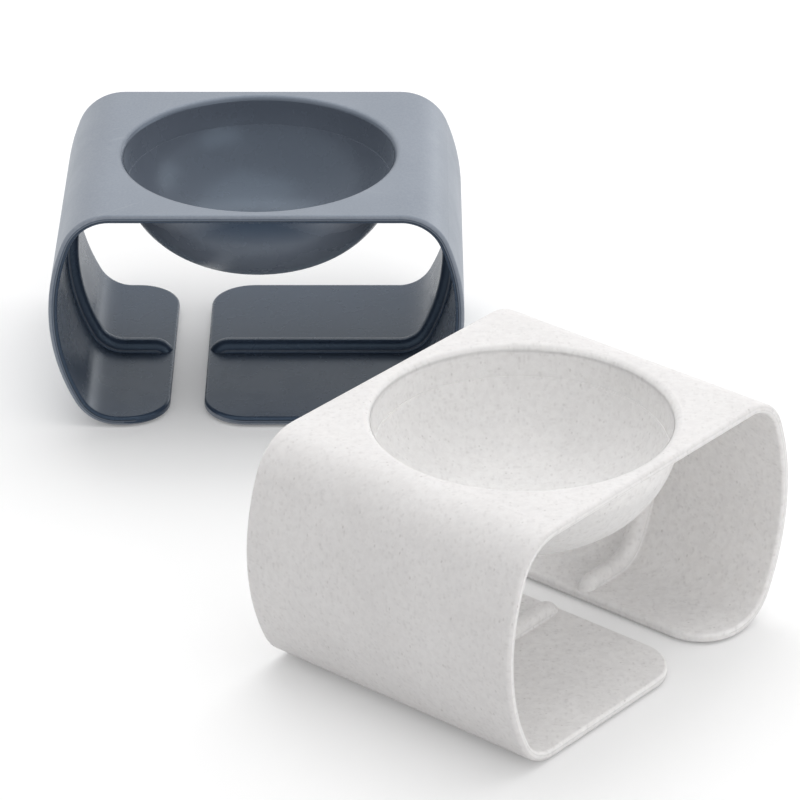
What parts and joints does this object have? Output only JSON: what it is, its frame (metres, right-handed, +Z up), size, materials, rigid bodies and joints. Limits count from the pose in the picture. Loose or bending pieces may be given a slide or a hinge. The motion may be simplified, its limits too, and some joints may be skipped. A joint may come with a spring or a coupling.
{
  "type": "raised pet bowl pair",
  "caption": "Raised pet bowls, a grey and a white: each is a sheet of moulded plastic bent to an open C, with a round bowl moulded into its deck.",
  "frame": {"origin": "middle of the pair's plan box on the floor that both stands stand on", "axes": "+Z up; -Y towards the viewer of the picture, which is where the grey stand's front edge faces; +X to the viewer's right"},
  "size_m": [0.3304, 0.455, 0.11],
  "materials": {
    "grey_plastic": "satin charcoal grey, lightly scuffed",
    "white_plastic": "matte off-white with fine short grey and brown flecks",
    "foot_rubber": "matte dark rubber"
  },
  "bodies": {
    "grey_stand": {"grey_bowl_stand": "grey_plastic", "grey_foot_front_left": "foot_rubber", "grey_foot_front_right": "foot_rubber", "grey_foot_back_left": "foot_rubber", "grey_foot_back_right": "foot_rubber"},
    "white_stand": {"white_bowl_stand": "white_plastic", "white_foot_front_left": "foot_rubber", "white_foot_front_right": "foot_rubber", "white_foot_back_left": "foot_rubber", "white_foot_back_right": "foot_rubber"}
  },
  "joints": [
    {"name": "white_stand_lift", "type": "slide", "parent": "grey_stand", "child": "white_stand", "axis": [0, 0, 1], "range_m": [0, 0.15]}
  ]
}
